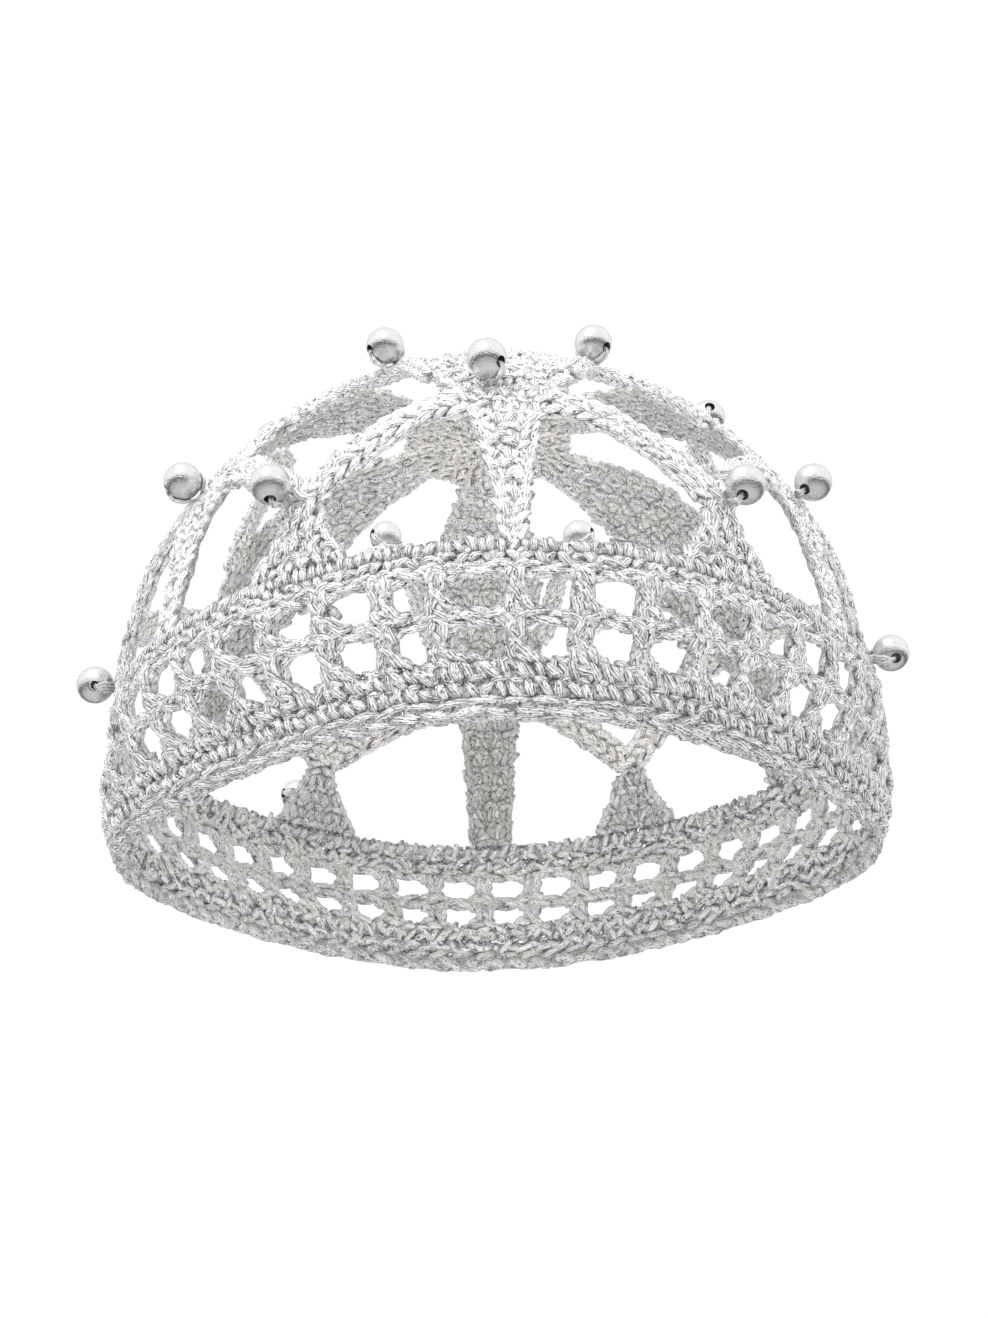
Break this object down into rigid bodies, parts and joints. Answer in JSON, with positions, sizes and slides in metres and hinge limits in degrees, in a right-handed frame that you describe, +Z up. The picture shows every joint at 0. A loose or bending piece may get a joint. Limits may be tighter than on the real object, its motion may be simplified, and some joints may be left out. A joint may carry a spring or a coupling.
{
  "type": "beaded crochet skull cap",
  "caption": "Openwork crocheted skull cap in metallic yarn: a netted band, peaks, petals and scalloped arches round the crown, with drilled round beads sewn on.",
  "frame": {"origin": "middle of the opening at the lower edge, where the cap sits on a head", "axes": "+Z up out of the crown, the wearer's front towards -Y, the wearer's left towards +X"},
  "size_m": [0.1846, 0.1898, 0.1103],
  "materials": {
    "yarn": "crocheted multi-strand yarn with metallic silver thread, sparkling",
    "edging": "the same metallic yarn worked as two rows of braid",
    "bead": "bright silver plating on drilled round beads"
  },
  "bodies": {
    "root": {"rim_edging": "edging", "net_band": "yarn", "crown_round": "yarn", "peak_1": "yarn", "peak_2": "yarn", "peak_3": "yarn", "peak_4": "yarn", "peak_5": "yarn", "peak_6": "yarn", "petal_1": "yarn", "petal_2": "yarn", "petal_3": "yarn", "petal_4": "yarn", "petal_5": "yarn", "petal_6": "yarn", "lower_arch_1": "yarn", "lower_arch_2": "yarn", "lower_arch_3": "yarn", "lower_arch_4": "yarn", "lower_arch_5": "yarn", "lower_arch_6": "yarn", "upper_arch_1": "yarn", "upper_arch_2": "yarn", "upper_arch_3": "yarn", "upper_arch_4": "yarn", "upper_arch_5": "yarn", "upper_arch_6": "yarn", "peak_bead_1": "bead", "peak_bead_2": "bead", "peak_bead_3": "bead", "peak_bead_4": "bead", "peak_bead_5": "bead", "peak_bead_6": "bead", "petal_bead_1": "bead", "petal_bead_2": "bead", "petal_bead_3": "bead", "petal_bead_4": "bead", "petal_bead_5": "bead", "petal_bead_6": "bead", "arch_bead_1": "bead", "arch_bead_2": "bead", "arch_bead_3": "bead", "arch_bead_4": "bead", "arch_bead_5": "bead", "arch_bead_6": "bead"}
  },
  "joints": []
}
